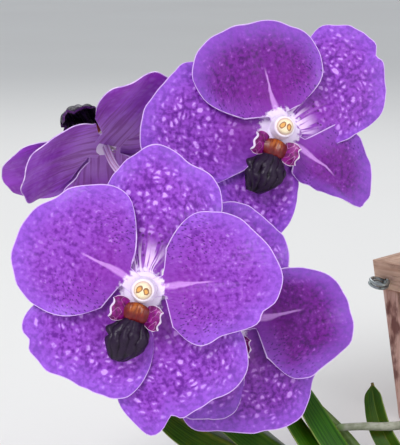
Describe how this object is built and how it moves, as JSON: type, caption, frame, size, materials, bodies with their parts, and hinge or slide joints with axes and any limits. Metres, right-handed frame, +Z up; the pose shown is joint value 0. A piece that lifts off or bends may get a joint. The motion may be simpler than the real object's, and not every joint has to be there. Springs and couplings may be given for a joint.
{
  "type": "potted vanda orchid",
  "caption": "Potted vanda orchid: square tapered wooden basket of bark, leaning stem with strap leaves and aerial roots, and a spike of large violet tessellated blooms.",
  "frame": {"origin": "middle of the underside of the basket, on the surface it stands on", "axes": "+Z up; +X to the viewer's right; +Y away from the viewer who faces the blooms; the basket's corners point along +X, +Y, -X and -Y"},
  "size_m": [0.3801, 0.2889, 0.2353],
  "materials": {
    "rim_wood": "weathered pale wood",
    "post_wood": "weathered pinkish wood with dark stains",
    "panel_wood": "grey-brown weathered wood",
    "bark": "rough bark chips",
    "steel": "dull galvanised wire",
    "stem": "woody green-brown stem with dry leaf bases",
    "leaf": "glossy fleshy green",
    "root": "matte grey-white velamen",
    "spike": "satin green",
    "pedicel": "satin lilac white",
    "tepal": "soft satin violet with pale netting and dark dots",
    "column": "waxy white",
    "throat": "waxy magenta with an orange-brown callus",
    "lip": "waxy black-purple"
  },
  "bodies": {
    "root": {"rim_board_1": "rim_wood", "rim_board_2": "rim_wood", "rim_board_3": "rim_wood", "rim_board_4": "rim_wood", "screw_eye_1": "steel", "screw_eye_2": "steel", "screw_eye_3": "steel", "screw_eye_4": "steel", "side_panel_1": "panel_wood", "side_panel_2": "panel_wood", "side_panel_3": "panel_wood", "side_panel_4": "panel_wood", "corner_post_1": "post_wood", "corner_post_2": "post_wood", "corner_post_3": "post_wood", "corner_post_4": "post_wood", "base_board": "panel_wood", "bark": "bark", "stem": "stem", "aerial_root_long": "root", "aerial_root_bark": "root", "aerial_root_rim": "root", "aerial_root_side": "root", "aerial_root_low": "root", "leaf_left_low": "leaf", "leaf_outer": "leaf", "leaf_second": "leaf", "leaf_third": "leaf", "leaf_top": "leaf", "leaf_small": "leaf", "leaf_right_low": "leaf", "leaf_right_mid": "leaf", "flower_spike": "spike", "front_bloom_tepals": "tepal", "front_bloom_column": "column", "front_bloom_throat": "throat", "front_bloom_lip": "lip", "front_bloom_pedicel": "pedicel", "upper_bloom_tepals": "tepal", "upper_bloom_column": "column", "upper_bloom_throat": "throat", "upper_bloom_lip": "lip", "upper_bloom_pedicel": "pedicel", "lower_bloom_tepals": "tepal", "lower_bloom_column": "column", "lower_bloom_throat": "throat", "lower_bloom_lip": "lip", "lower_bloom_pedicel": "pedicel", "rear_bloom_tepals": "tepal", "rear_bloom_column": "column", "rear_bloom_throat": "throat", "rear_bloom_lip": "lip", "rear_bloom_pedicel": "pedicel"}
  },
  "joints": []
}
